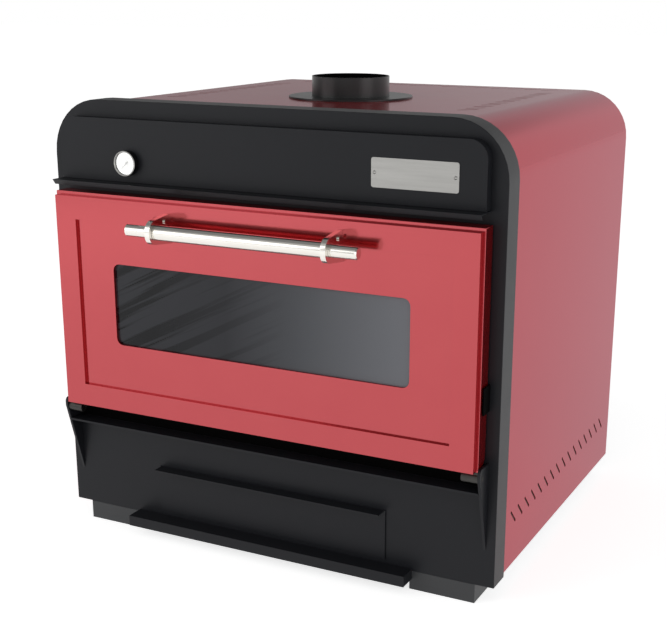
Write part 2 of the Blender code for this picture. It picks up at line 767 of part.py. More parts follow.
def make_nameplate():
    right = FASCIA_HALF - NAMEPLATE_INSET
    high = FASCIA_TOP - NAMEPLATE_DROP
    face = FASCIA_FACE - GAP - NAMEPLATE_SHEET
    outline = rectangle(right - NAMEPLATE_WIDTH, right, high - NAMEPLATE_HEIGHT, high, NAMEPLATE_CORNER)
    sheet = plate("nameplate", "front", face, FASCIA_FACE - GAP, outline)
    keep(cut(sheet, *rivet_holes("nameplate_rivet_hole_")), brushed_steel)
    head = GAP + RIVET_HEIGHT
    dome = [(0, head), (RIVET_HEAD / 2, head), (RIVET_HEAD, GAP)]
    shank = [(RIVET_RADIUS, GAP), (RIVET_RADIUS, -RIVET_TAIL), (0, -RIVET_TAIL)]
    for side, x, z in rivet_places():
        rivet = turned("nameplate_rivet_" + side, "front", x, z, face, dome + shank, SMALL_ROUND_STEPS)
        keep(rivet, brushed_steel)


def make_thermometer(joint):
    # Heights here rise forwards from the case's foot on the fascia
    inside = CASE_RADIUS - CASE_WALL
    shoulder = inside - LENS_SEAT
    seat = CASE_HEIGHT - LENS_RECESS
    bore = STEM_RADIUS + GAP
    case_profile = [
        (CASE_RADIUS, CASE_HEIGHT),
        (CASE_RADIUS, 0),
        (bore, 0),
        (bore, CASE_BASE),
        (shoulder, CASE_BASE),
        (shoulder, seat),
        (inside, seat),
        (inside, CASE_HEIGHT),
    ]
    keep(on_dial_axis("thermometer_case", case_profile), black_enamel)
    ring_foot = CASE_HEIGHT + GAP
    bezel = ring(CASE_RADIUS, CASE_RADIUS - BEZEL_WIDTH, ring_foot, ring_foot + BEZEL_HEIGHT)
    keep(on_dial_axis("thermometer_bezel", bezel), stainless)
    spindle_bore = NEEDLE_SPINDLE + GAP
    dial = ring(shoulder - GAP, spindle_bore, DIAL_FOOT, DIAL_FACE)
    keep(on_dial_axis("thermometer_dial", dial), white_enamel)
    lens_foot = seat + GAP
    lens_top = lens_foot + LENS_THICKNESS
    lens = [(0, lens_top), (inside - GAP, lens_top), (inside - GAP, lens_foot), (0, lens_foot)]
    keep(on_dial_axis("thermometer_lens", lens), glass)
    stem = [
        (0, CASE_BASE - STEM_BORE),
        (spindle_bore, CASE_BASE - STEM_BORE),
        (spindle_bore, CASE_BASE),
        (STEM_RADIUS, CASE_BASE),
        (STEM_RADIUS, CASE_BASE - STEM_LENGTH),
        (0, CASE_BASE - STEM_LENGTH),
    ]
    keep(on_dial_axis("thermometer_stem", stem, SMALL_ROUND_STEPS), stainless)
    make_needle(joint, shoulder - NEEDLE_CLEARANCE)


def on_dial_axis(name, profile, steps=ROUND_STEPS):
    return turned(name, "front", DIAL_X, DIAL_Z, CASE_FOOT, profile, steps)


def make_needle(joint, length):
    foot = DIAL_FACE + GAP
    top = foot + NEEDLE_THICKNESS
    end = CASE_BASE - NEEDLE_DEPTH
    hub = [(0, top), (NEEDLE_HUB, top), (NEEDLE_HUB, foot)]
    spindle = [(NEEDLE_SPINDLE, foot), (NEEDLE_SPINDLE, end), (0, end)]
    needle = on_dial_axis("thermometer_needle", hub + spindle, SMALL_ROUND_STEPS)
    rest = Matrix.Rotation(2 * math.pi * NEEDLE_ZERO_SHARE, 2)
    half = NEEDLE_WIDTH / 2
    blade = [(half, -NEEDLE_TAIL), (-half, -NEEDLE_TAIL), (-half, 0), (0, length), (half, 0)]
    outline = [Vector((DIAL_X, DIAL_Z)) + rest @ Vector(corner) for corner in blade]
    pointer = plate("needle_blade", "front", CASE_FOOT - top, CASE_FOOT - foot, outline)
    keep(join(needle, pointer), dark_steel, joint)


def door_outline(inset=0):
    return rectangle(inset - DOOR_HALF, DOOR_HALF - inset, DOOR_BASE + inset, DOOR_TOP - inset)


def window_outline(margin=0, corner=0):
    half = WINDOW_HALF + margin
    return rectangle(-half, half, WINDOW_LOW - margin, WINDOW_HIGH + margin, corner)


def recess_outline(margin=0):
    half = RECESS_HALF + margin
    return rectangle(-half, half, RECESS_FLOOR - margin, RECESS_CEILING + margin)


def skin_outline(inset=0):
    half = DOOR_HALF - SKIN_SIDE_INSET - inset
    return rectangle(-half, half, DOOR_BASE + inset, DOOR_TOP - SKIN_TOP_INSET - inset)


def make_door_skin(joint):
    # A shallow tray that stands on the pan's rim, with its edges turned back, a pressed recess
    # and the window through it, whose edge is turned back to the glass
    skin = plate("door_skin", "front", DOOR_FACE, PAN_FRONT - GAP, skin_outline())
    hem = window_outline(SKIN_SHEET, WINDOW_CORNER + SKIN_SHEET)
    cut(skin, plate("skin_hollow", "front", SKIN_BACK, OVERRUN, skin_outline(SKIN_SHEET)))
    join(skin, plate("recess_back", "front", DOOR_FACE + GAP, RECESS_BACK, recess_outline(SKIN_SHEET)))
    join(skin, plate("window_hem", "front", RECESS_FACE + GAP, OUTER_GLASS_FRONT - GAP, hem))
    cut(
        skin,
        plate("recess_space", "front", DOOR_FACE - OVERRUN, RECESS_FACE, recess_outline()),
        plate("window_hole", "front", DOOR_FACE - OVERRUN, OVERRUN, window_outline(0, WINDOW_CORNER)),
    )
    keep(skin, red_enamel, joint)


def make_door_body(joint):
    # The pan is a deep tray with its lower rear edge rounded, and a rim turned in round its mouth
    section = [
        (PAN_FRONT, DOOR_TOP, 0),
        (PAN_BACK, DOOR_TOP, 0),
        (PAN_BACK, DOOR_BASE, PAN_CORNER),
        (PAN_FRONT, DOOR_BASE, 0),
    ]
    rim_back = PAN_FRONT + PAN_SHEET
    hollow = [
        (rim_back, DOOR_TOP - PAN_SHEET, 0),
        (PAN_INSIDE, DOOR_TOP - PAN_SHEET, 0),
        (PAN_INSIDE, DOOR_BASE + PAN_SHEET, PAN_CORNER - PAN_SHEET),
        (rim_back, DOOR_BASE + PAN_SHEET, 0),
    ]
    pan = plate("door_pan", "side", -DOOR_HALF, DOOR_HALF, filleted(section))
    inner_half = DOOR_HALF - PAN_SHEET
    lining = window_outline(LINING_WALL + GAP)
    cut(
        pan,
        plate("pan_hollow", "side", -inner_half, inner_half, filleted(hollow)),
        plate("pan_window", "front", PAN_INSIDE - OVERRUN, OVERRUN, lining),
        plate("pan_mouth", "front", PAN_FRONT - OVERRUN, rim_back + PAN_SHEET, door_outline(PAN_RIM)),
    )
    keep(pan, red_enamel, joint)

    # A deep ring through the pan's mouth stiffens it and carries the skin
    ring_outer = PAN_RIM + GAP
    ring_inset = ring_outer + INNER_FRAME_WIDTH
    rear = PAN_INSIDE - PAN_CORNER
    outlines = (door_outline(ring_outer), door_outline(ring_inset))
    keep(plate("door_inner_frame", "front", SKIN_BACK + GAP, rear, *outlines), black_enamel, joint)

    # Insulation fills the pan behind the recess and behind the ring, round the window lining
    side = DOOR_HALF - ring_inset - GAP
    low = DOOR_BASE + max(PAN_CORNER, ring_inset + GAP)
    fill = rectangle(-side, side, low, DOOR_TOP - ring_inset - GAP)
    block = plate("door_insulation", "front", RECESS_BACK + GAP, PAN_INSIDE - GAP, fill, lining)
    keep(block, ceramic_wool, joint)


def make_liner(joint):
    low, high = LINER_LOW, LINER_HIGH
    liner = box("door_liner", (-LINER_HALF, LINER_HALF), (PAN_BACK + GAP, LINER_DEPTH), (low, high))
    half = LINER_HALF - LINER_SHEET
    inside = (low + LINER_SHEET, high - LINER_SHEET)
    cut(
        liner,
        box("liner_hollow", (-half, half), (PAN_BACK - OVERRUN, LINER_DEPTH - LINER_SHEET), inside),
        plate("liner_window", "front", 0, LINER_DEPTH + OVERRUN, window_outline()),
    )
    keep(liner, stainless, joint)
    wool_half = half - GAP
    wool = plate(
        "liner_insulation",
        "front",
        PAN_BACK + GAP,
        INNER_GLASS_BACK,
        rectangle(-wool_half, wool_half, inside[0] + GAP, inside[1] - GAP),
        window_outline(LINING_WALL + GAP),
    )
    keep(wool, ceramic_wool, joint)
    seal_half = LINER_HALF + SEAL_MARGIN + GAP + LINER_CLEARANCE
    seal_low = LINER_LOW - SEAL_MARGIN - GAP - LINER_CLEARANCE
    seal_high = LINER_HIGH + SEAL_MARGIN + GAP + LINER_CLEARANCE
    outer = seal_half + SEAL_WIDTH
    seal = plate(
        "door_seal",
        "front",
        PAN_BACK + GAP,
        -GAP,
        rectangle(-outer, outer, seal_low - SEAL_WIDTH, seal_high + SEAL_WIDTH, SEAL_CORNER),
        rectangle(-seal_half, seal_half, seal_low, seal_high),
    )
    keep(seal, woven_seal, joint)


def make_window(joint):
    # The lining is a deep ring that holds one pane against the skin and one against the liner
    panes = (("outer", OUTER_GLASS_FRONT, OUTER_GLASS_BACK), ("inner", INNER_GLASS_FRONT, INNER_GLASS_BACK))
    for name, front, back in panes:
        pane = plate("door_glass_" + name, "front", front, back, window_outline(GLASS_MARGIN))
        keep(pane, glass, joint)
    lining = plate(
        "window_lining",
        "front",
        OUTER_GLASS_BACK + GAP,
        INNER_GLASS_FRONT - GAP,
        window_outline(LINING_WALL),
        window_outline(),
    )
    keep(lining, ceramic_wool, joint)


def make_handle(joint):
    half_length = HANDLE_LENGTH / 2
    half_spacing = half_length - BRACKET_INSET
    step = RECESS_CEILING - GAP
    base = DOOR_FACE - GAP
    outline = filleted(
        [
            (base, HANDLE_Z + BRACKET_FOOT / 2, 0),
            (HANDLE_Y - BRACKET_EYE, HANDLE_Z + BRACKET_EYE, BRACKET_EYE),
            (HANDLE_Y - BRACKET_EYE, HANDLE_Z - BRACKET_EYE, BRACKET_EYE),
            (RECESS_FACE - GAP, HANDLE_Z - BRACKET_FOOT / 2, 0),
            (RECESS_FACE - GAP, step, 0),
            (base, step, 0),
        ],
        ARCH_STEPS,
    )
    screw = [
        (0, SCREW_HEAD_HEIGHT),
        (SCREW_HEAD_RADIUS, SCREW_HEAD_HEIGHT),
        (SCREW_HEAD_RADIUS, 0),
        (SCREW_RADIUS, 0),
        (SCREW_RADIUS, -SCREW_LENGTH),
        (0, -SCREW_LENGTH),
    ]
    screw_y = HANDLE_Y + SCREW_BACK
    screw_z = HANDLE_Z + SCREW_RISE
    for side, sign in SIDES:
        low, high = span(sign, half_spacing, half_spacing + BRACKET_THICKNESS)
        bracket = plate(
            "handle_bracket_" + side,
            "side",
            low,
            high,
            outline,
            circle(HANDLE_Y, HANDLE_Z, HANDLE_RADIUS + GAP),
            circle(screw_y, screw_z, SCREW_RADIUS + GAP, SMALL_ROUND_STEPS),
        )
        keep(bracket, polished_steel, joint)
        head = turned("bracket_screw_" + side, "side", screw_y, screw_z, high + GAP, screw, SMALL_ROUND_STEPS)
        keep(head, stainless, joint)
    end = HANDLE_RADIUS - HANDLE_CHAMFER
    flat = half_length - HANDLE_CHAMFER
    right = [(0, half_length), (end, half_length), (HANDLE_RADIUS, flat)]
    left = [(HANDLE_RADIUS, -flat), (end, -half_length), (0, -half_length)]
    keep(turned("handle_rod", "side", HANDLE_Y, HANDLE_Z, 0, right + left), polished_steel, joint)
    reach = half_spacing - GAP
    bore = HANDLE_RADIUS + GAP
    tube = ring(bore + SLEEVE_WALL, bore, -reach, reach)
    keep(turned("handle_sleeve", "side", HANDLE_Y, HANDLE_Z, 0, tube), polished_steel, joint)


def make_hinges(joint):
    # Barrels hang under the door's corners on pins that are fixed in the gussets
    outer = GUSSET_INNER - GAP
    for side, sign in SIDES:
        low, high = span(sign, outer - BARREL_LENGTH, outer)
        barrel = cylinder("hinge_barrel_" + side, "side", HINGE_Y, HINGE_Z, low, high, BARREL_RADIUS)
        lug_x = span(sign, DOOR_HALF, outer - BARREL_LENGTH)
        lug_y = (HINGE_Y - LUG_WIDTH / 2, HINGE_Y + LUG_WIDTH / 2)
        join(barrel, box("hinge_lug_" + side, lug_x, lug_y, (HINGE_Z, DOOR_BASE - GAP)))
        ends = (low - OVERRUN, high + OVERRUN)
        cut(barrel, cylinder("hinge_bore_" + side, "side", HINGE_Y, HINGE_Z, *ends, PIN_RADIUS + GAP))
        keep(barrel, brushed_steel, joint)
        pin_end = GUSSET_INNER + GUSSET_SHEET
        low, high = span(sign, pin_end - PIN_LENGTH, pin_end)
        keep(cylinder("hinge_pin_" + side, "side", HINGE_Y, HINGE_Z, low, high, PIN_RADIUS), brushed_steel)


def make_gussets():
    top = DOOR_BASE + GUSSET_OVERLAP
    nose = HINGE_Y - GUSSET_NOSE
    outline = filleted(
        [
            (-GAP, top, 0),
            (nose, top, GUSSET_CORNER),
            (nose, top - GUSSET_FRONT_EDGE - GUSSET_CORNER, 0),
            (-GAP, top - GUSSET_HEIGHT, 0),
        ]
    )
    hole = circle(HINGE_Y, HINGE_Z, PIN_RADIUS + GAP)
    for side, sign in SIDES:
        low, high = span(sign, GUSSET_INNER, GUSSET_INNER + GUSSET_SHEET)
        keep(plate("gusset_" + side, "side", low, high, outline, hole), black_enamel)
        near = DOOR_HALF + KEEPER_CLEARANCE
        foot = DOOR_BASE + KEEPER_RISE
        wide = span(sign, near, near + KEEPER_WIDTH)
        keeper = box("catch_keeper_" + side, wide, (-KEEPER_REACH, -GAP), (foot, foot + KEEPER_HEIGHT))
        keep(keeper, black_enamel)
    half = GUSSET_INNER - GAP
    sill_top = DOOR_BASE - SILL_DROP
    sill = box("sill_shelf", (-half, half), (-SILL_REACH, -GAP), (sill_top - SILL_SHEET, sill_top))
    keep(sill, black_enamel)


def make_ash_drawer(joint):
    # The front laps over the opening and carries a grip flange along its top
    half = DRAWER_OPENING_HALF + DRAWER_FRONT_OVERLAP
    back = -GAP
    face = back - DRAWER_FRONT_SHEET
    foot = DRAWER_OPENING_BASE - DRAWER_FRONT_BASE_LAP
    top = DRAWER_OPENING_TOP + DRAWER_FRONT_TOP_LAP
    front = box("ash_drawer_front", (-half, half), (face, back), (foot, top))
    grip_half = half - GRIP_INSET
    grip_z = (top - DRAWER_FRONT_SHEET, top)
    grip = box("grip_flange", (-grip_half, grip_half), (-GRIP_REACH, back - GAP), grip_z)
    keep(join(front, grip), black_enamel, joint)
    tray_top = DRAWER_OPENING_TOP - TRAY_HEADROOM
    tray = box("ash_drawer_tray", (-TRAY_HALF, TRAY_HALF), (0, TRAY_BACK), (TRAY_BASE, tray_top))
    inner = TRAY_HALF - TRAY_SHEET
    deep = (TRAY_SHEET, TRAY_BACK - TRAY_SHEET)
    hollow = box("tray_hollow", (-inner, inner), deep, (TRAY_BASE + TRAY_SHEET, tray_top + OVERRUN))
    keep(cut(tray, hollow), galvanised, joint)


def make_guides():
    # An angle on the base plate on each side: the tray rides on its ledge, inside its wall
    wall = TRAY_HALF + TRAY_CLEARANCE
    ledge = TRAY_BASE - GAP
    foot = BASE_TOP + GAP
    inner = wall - GUIDE_LEDGE
    outer = wall + GUIDE_WALL
    top = ledge + GUIDE_RISE
    angle = [(inner, foot), (outer, foot), (outer, top), (wall, top), (wall, ledge), (inner, ledge)]
    for side, sign in SIDES:
        outline = [(sign * x, z) for x, z in angle]
        keep(plate("drawer_guide_" + side, "front", CASING_FRONT, TRAY_BACK, outline), galvanised)


def make_ash_lip():
    # A sheet from the frame forwards, turned down into a skirt at its front edge and closed at
    # both ends by a plate
    half = HALF_BODY - LIP_SIDE_MARGIN
    foot = LIP_TOP - LIP_SKIRT
    path = [(-LIP_REACH, foot), (-LIP_REACH, LIP_TOP), (-GAP, LIP_TOP)]
    lip = folded("ash_lip", "side", -half, half, path, LIP_SHEET)
    end = rectangle(GAP - LIP_REACH, -GAP - GAP, foot + GAP, LIP_TOP - GAP)
    for side, sign in SIDES:
        low, high = span(sign, half - LIP_SHEET, half - GAP)
        join(lip, plate("lip_end_" + side, "side", low, high, end))
    keep(lip, black_enamel)


clear_scene()
parts = new_collection("charcoal_oven")
cutters = new_collection("cutters")
SIDES = (("left", -1), ("right", 1))

red_enamel = new_material("red_enamel", (0.45, 0.09, 0.11), 0.30)
black_enamel = new_material("black_enamel", (0.030, 0.032, 0.034), 0.45)
grey_enamel = new_material("grey_enamel", (0.060, 0.064, 0.070), 0.50)
white_enamel = new_material("white_enamel", (0.85, 0.85, 0.84), 0.45)
brushed_steel = new_material("brushed_steel", (0.56, 0.55, 0.53), 0.38, metallic=1.0)
polished_steel = new_material("polished_steel", (0.75, 0.75, 0.75), 0.15, metallic=1.0)
stainless = new_material("stainless", (0.60, 0.59, 0.57), 0.30, metallic=1.0)
dark_steel = new_material("dark_steel", (0.05, 0.05, 0.05), 0.50, metallic=0.8)
raw_steel = new_material("raw_steel", (0.20, 0.19, 0.18), 0.60, metallic=0.9)
galvanised = new_material("galvanised", (0.42, 0.43, 0.44), 0.50, metallic=0.9)
cast_iron = new_material("cast_iron", (0.045, 0.045, 0.045), 0.75)
ceramic_wool = new_material("ceramic_wool", (0.80, 0.79, 0.75), 0.95)
woven_seal = new_material("woven_seal", (0.10, 0.10, 0.10), 0.90)
glass = new_material("glass", (0.55, 0.57, 0.60), 0.05, transmission=0.9)

oven = new_empty("oven_reference", (0, (HANDLE_REACH - BODY_DEPTH) / 2, FOOT_HEIGHT))
door_joint = new_empty("door_hinge", (0, HINGE_Y, HINGE_Z), oven)
drawer_joint = new_empty("ash_drawer_slide", (0, 0, DRAWER_OPENING_BASE), oven)
needle_joint = new_empty("needle_pivot", (DIAL_X, CASE_FOOT, DIAL_Z), oven)

make_front_frame()
make_casing()
make_body_panels()
make_feet()
make_firebox()
make_insulation()
make_grate()
make_runners()
for grill_name, grill_level in GRILL_LEVELS.items():
    slide = new_empty("grill_" + grill_name + "_slide", (0, GRILL_FRONT, grill_level), oven)
    make_grill("grill_" + grill_name, grill_level, slide)
make_flue()
make_fascia()
make_nameplate()
make_thermometer(needle_joint)
make_door_skin(door_joint)
make_door_body(door_joint)
make_liner(door_joint)
make_window(door_joint)
make_handle(door_joint)
make_hinges(door_joint)
make_gussets()
make_ash_drawer(drawer_joint)
make_guides()
make_ash_lip()
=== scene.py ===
import math

import bmesh
import bpy
from mathutils import Matrix, Vector


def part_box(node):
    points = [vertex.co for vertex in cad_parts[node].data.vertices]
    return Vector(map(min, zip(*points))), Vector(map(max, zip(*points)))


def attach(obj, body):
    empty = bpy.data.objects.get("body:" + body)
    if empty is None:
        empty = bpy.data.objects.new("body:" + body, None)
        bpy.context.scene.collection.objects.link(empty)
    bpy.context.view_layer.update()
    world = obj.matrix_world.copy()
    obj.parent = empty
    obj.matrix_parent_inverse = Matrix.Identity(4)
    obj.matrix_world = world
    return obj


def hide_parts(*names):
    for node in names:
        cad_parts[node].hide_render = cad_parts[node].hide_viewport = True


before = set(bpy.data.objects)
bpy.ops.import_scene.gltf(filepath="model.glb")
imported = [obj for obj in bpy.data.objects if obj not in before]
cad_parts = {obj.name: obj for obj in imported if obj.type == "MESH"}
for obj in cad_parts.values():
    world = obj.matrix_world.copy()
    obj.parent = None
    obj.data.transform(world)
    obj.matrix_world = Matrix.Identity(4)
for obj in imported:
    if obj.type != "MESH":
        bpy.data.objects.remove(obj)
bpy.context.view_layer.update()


# Feet and base
# Two folded steel skids, powder coated dark grey, are welded under a galvanised base plate.
# Their bends have a small radius, and the coating is thick enough to blunt every cut edge.
def rounded(name, source, body, radius, segments=2, sharp=30):
    """A CAD node's own shape with its sharp edges rounded off to the radius."""
    work = bmesh.new()
    work.from_mesh(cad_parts[source].data)
    bmesh.ops.remove_doubles(work, verts=work.verts, dist=0.00001)
    bmesh.ops.dissolve_limit(
        work, angle_limit=math.radians(1), verts=work.verts, edges=work.edges
    )
    edges = [
        edge
        for edge in work.edges
        if edge.is_manifold and edge.calc_face_angle(0) > math.radians(sharp)
    ]
    bmesh.ops.bevel(
        work,
        geom=edges,
        offset=radius,
        offset_type="OFFSET",
        affect="EDGES",
        segments=segments,
        profile=0.5,
        material=-1,
        clamp_overlap=True,
    )
    return piece(name, work, body, source)


def piece(name, work, body, *stands_for):
    """Makes the bmesh an object that rides on a body, in place of the CAD nodes it stands for."""
    mesh = bpy.data.meshes.new(name)
    work.to_mesh(mesh)
    work.free()
    mesh.shade_smooth()
    mesh.set_sharp_from_angle(angle=math.radians(28))
    made = bpy.data.objects.new(name, mesh)
    bpy.context.scene.collection.objects.link(made)
    flat = made.modifiers.new("flat_faces", "WEIGHTED_NORMAL")
    flat.keep_sharp = True
    flat.weight = 100
    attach(made, body)
    if stands_for:
        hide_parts(*stands_for)
    return made


def linear(code):
    """An sRGB hex code as the linear colour that a socket takes."""
    shares = [int(code[start : start + 2], 16) / 255 for start in (1, 3, 5)]
    return (*[s / 12.92 if s <= 0.04045 else ((s + 0.055) / 1.055) ** 2.4 for s in shares], 1)


def add(material, kind, inputs, **settings):
    """Adds a node, sets its properties, and fills or links its inputs."""
    tree = material.node_tree
    made = tree.nodes.new(kind)
    for key, value in settings.items():
        setattr(made, key, value)
    for key, value in inputs.items():
        if isinstance(value, bpy.types.NodeSocket):
            tree.links.new(value, made.inputs[key])
        else:
            made.inputs[key].default_value = value
    return made


def surface(name, light, dark, patch, rough, grain, depth, stretch=(1, 1, 1), **sockets):
    """A finish whose colour drifts between two codes over patches, with roughness and a fine
    grain from the same place. Patch and grain are real sizes in millimetres."""
    material = bpy.data.materials.new(name)
    material.use_nodes = True
    shader = material.node_tree.nodes["Principled BSDF"]
    where = add(material, "ShaderNodeTexCoord", {}).outputs["Object"]
    along = add(material, "ShaderNodeMapping", {"Vector": where, "Scale": stretch}).outputs[0]
    drift = add(
        material, "ShaderNodeTexNoise", {"Vector": along, "Scale": 1000 / patch, "Detail": 3}
    ).outputs[0]
    tint = add(
        material,
        "ShaderNodeMix",
        {0: drift, 6: linear(dark), 7: linear(light)},
        data_type="RGBA",
    )
    worn = add(
        material, "ShaderNodeMapRange", {"Value": drift, "To Min": rough[0], "To Max": rough[1]}
    )
    fine = add(
        material, "ShaderNodeTexNoise", {"Vector": along, "Scale": 1000 / grain, "Detail": 2}
    ).outputs[0]
    bump = add(
        material, "ShaderNodeBump", {"Height": fine, "Distance": depth / 1000, "Strength": 0.6}
    )
    tree = material.node_tree
    tree.links.new(tint.outputs[2], shader.inputs["Base Color"])
    tree.links.new(worn.outputs[0], shader.inputs["Roughness"])
    tree.links.new(bump.outputs[0], shader.inputs["Normal"])
    for key, value in sockets.items():
        shader.inputs[key.replace("_", " ")].default_value = value
    return material


def finish(material, slot, *made):
    """Gives CAD nodes, by name, and new pieces their material. The slot is not used."""
    for one in made:
        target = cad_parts[one] if isinstance(one, str) else one
        target.data.materials.clear()
        target.data.materials.append(material)


# Powder coat cures to a low orange peel, with peaks about 2 mm apart and 0.02 mm high.
grey_powder_coat = surface(
    "grey_powder_coated_steel", "#3A3B3D", "#343537",
    patch=40, rough=(0.48, 0.56), grain=2.0, depth=0.02,
)
for side in ("left", "right"):
    skid = rounded("skid_" + side, "foot_" + side, "oven_body", radius=0.0006)
    finish(grey_powder_coat, "grey_enamel", skid)

# Hot-dip zinc freezes in spangles about 12 mm across, each a slightly different grey.
galvanised = surface(
    "galvanised_steel", "#A9ACAE", "#8A8E91",
    patch=12, rough=(0.38, 0.56), grain=6.0, depth=0.01, Metallic=1.0,
)
finish(galvanised, "galvanised", "base_plate")


# Firebox and insulation
# A welded box of 3 mm mild steel holds the fire. Heat has turned its mill scale brown and grey.
# Brown stone wool wraps it and fills the back. It shows only as the dark behind the vent slots.
scaled_steel = surface(
    "mill_scale_steel", "#5A5552", "#3B3734",
    patch=55, rough=(0.55, 0.75), grain=1.5, depth=0.05, Metallic=0.8,
)
finish(scaled_steel, "raw_steel", "firebox")
# The door is packed with white ceramic fibre, matt and faintly mottled. A smooth, buff ring of
# pressed mineral board holds its window.
wool = surface(
    "ceramic_wool", "#E2DFD6", "#CFCBC0",
    patch=8, rough=(0.92, 0.98), grain=1.2, depth=0.5,
)
finish(wool, "ceramic_wool", "door_insulation", "liner_insulation")
stone_wool = surface(
    "brown_stone_wool", "#6E4F49", "#54393A",
    patch=8, rough=(0.94, 0.99), grain=1.2, depth=0.5,
)
finish(stone_wool, "ceramic_wool", "insulation_wrap", "insulation_rear")
board = surface(
    "pressed_mineral_board", "#B9B5AC", "#A5A198",
    patch=18, rough=(0.86, 0.94), grain=0.8, depth=0.1,
)
finish(board, "ceramic_wool", "window_lining")


# Charcoal grate, runners and grills
# The grate is a sand-cast iron plate with long slots. The grills are stainless bars in a rim,
# dulled by smoke, and slide on folded stainless runners screwed to the firebox walls.
# The sand leaves the iron grainy, almost black and dull.
cast_iron = surface(
    "sand_cast_iron", "#2C2B2A", "#1D1C1C",
    patch=25, rough=(0.66, 0.82), grain=0.9, depth=0.12,
)
finish(cast_iron, "cast_iron", rounded("cast_grate", "charcoal_grate", "oven_body", radius=0.0012))
# Smoke takes the mirror off stainless steel and leaves it yellowish grey.
smoked_stainless = surface(
    "smoked_stainless", "#A39C92", "#857D73",
    patch=30, rough=(0.28, 0.44), grain=0.8, depth=0.01, Metallic=1.0,
)
finish(smoked_stainless, "stainless", "rack_runner_left", "rack_runner_right", "door_liner")
for level in ("lower", "upper"):
    rack = rounded("cooking_grill_" + level, "grill_" + level, level + "_grill", radius=0.0015)
    finish(smoked_stainless, "stainless", rack)


# Casing
# One sheet of 1.5 mm steel is rolled over the sides and the top and slotted for air near its
# edges. Its red powder coat is full of fine metal flake, so it mirrors its surroundings in red.
red_powder_coat = surface(
    "red_flake_powder_coated_steel", "#C45E62", "#C05A5F",
    patch=70, rough=(0.11, 0.15), grain=2.2, depth=0.008,
    Metallic=1.0, Specular_Tint=(0.76, 0.75, 0.8, 1),
)
# Between the flakes the resin is a deep red, which is all that shows where dark is mirrored.
flake_share = 0.78
resin = add(
    red_powder_coat, "ShaderNodeBsdfDiffuse", {"Color": linear("#A50D12"), "Roughness": 0.3}
)
flakes = red_powder_coat.node_tree.nodes["Principled BSDF"]
coat = add(
    red_powder_coat,
    "ShaderNodeMixShader",
    {0: flake_share, 1: resin.outputs[0], 2: flakes.outputs[0]},
)
red_output = red_powder_coat.node_tree.nodes["Material Output"]
red_powder_coat.node_tree.links.new(coat.outputs[0], red_output.inputs["Surface"])
finish(red_powder_coat, "red_enamel", rounded("casing_wrap", "casing", "oven_body", radius=0.0005))


# Front frame and rear panel
# The frame is pressed from 2 mm steel with a rim that stands 6 mm proud of the casing. It and the
# rear panel have a satin black powder coat with a fine grain, which gives a weak, soft gloss.
black_powder_coat = surface(
    "black_powder_coated_steel", "#1E1F23", "#1B1C20",
    patch=45, rough=(0.38, 0.44), grain=1.6, depth=0.014, IOR=1.37, Specular_IOR_Level=0.37,
)
pressing = rounded("frame_pressing", "front_frame", "oven_body", radius=0.0018, segments=3)
finish(black_powder_coat, "black_enamel", pressing, "rear_panel")
# Dull near-black: real soot in the flue bore, painted shade below the door and on the keepers.
soot_and_painted_shade = surface(
    "sooted_steel_and_painted_shade", "#030303", "#020202",
    patch=14, rough=(0.8, 0.92), grain=1.2, depth=0.05, Specular_IOR_Level=0.06,
)
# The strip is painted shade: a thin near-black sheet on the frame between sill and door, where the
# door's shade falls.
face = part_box("front_frame")[0].y
door_low, door_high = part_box("door_pan")
strip_gap, strip_rise, strip_inset = 0.0003, 0.0035, 0.001
strip_back, strip_front, strip_edge = 0.0002, 0.0006, 0.00012
low_z, high_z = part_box("sill_shelf")[1].z + strip_gap, door_low.z + strip_rise
work = bmesh.new()
bmesh.ops.create_grid(work, x_segments=1, y_segments=1, size=0.5)
for vert in work.verts:
    x, height = vert.co.x * 2 * (door_high.x - strip_inset), vert.co.y + 0.5
    vert.co = (x, face - strip_back, low_z + height * (high_z - low_z))
grown = bmesh.ops.extrude_face_region(work, geom=work.faces[:])["geom"]
front = [one for one in grown if isinstance(one, bmesh.types.BMVert)]
bmesh.ops.translate(work, verts=front, vec=(0, strip_back - strip_front, 0))
bmesh.ops.recalc_face_normals(work, faces=work.faces)
bmesh.ops.bevel(
    work,
    geom=work.edges[:],
    offset=strip_edge,
    affect="EDGES",
    segments=1,
    profile=0.5,
    material=-1,
)
finish(soot_and_painted_shade, "black_enamel", piece("painted_shade_strip", work, "oven_body"))


# Flue collar and flange
# A rolled tube is seam welded to a flat ring that is screwed down over the hole in the roof.
# Both run hotter than the frame, so they are stove enamelled and glossier.
# The enamel is baked to a smooth deep black with a clear sheen.
stove_enamel = surface(
    "black_stove_enamel", "#131314", "#0D0D0E",
    patch=35, rough=(0.26, 0.34), grain=1.8, depth=0.01,
)


def turned(name, outline, centre, axis, body, *stands_for, steps=72):
    """Spins a closed outline of (radius, height) points round an axis through the centre."""
    work = bmesh.new()
    corners = [work.verts.new((radius, 0, height)) for radius, height in outline]
    for first, second in zip(corners, corners[1:] + corners[:1]):
        work.edges.new((first, second))
    bmesh.ops.spin(
        work,
        geom=work.verts[:] + work.edges[:],
        cent=(0, 0, 0),
        axis=(0, 0, 1),
        angle=math.tau,
        steps=steps,
        use_merge=True,
    )
    bmesh.ops.remove_doubles(work, verts=work.verts, dist=0.000005)
    bmesh.ops.dissolve_degenerate(work, edges=work.edges, dist=0.000005)
    bmesh.ops.recalc_face_normals(work, faces=work.faces)
    turn = Vector((0, 0, 1)).rotation_difference(Vector(axis)).to_matrix().to_4x4()
    bmesh.ops.transform(work, verts=work.verts, matrix=Matrix.Translation(centre) @ turn)
    return piece(name, work, body, *stands_for)


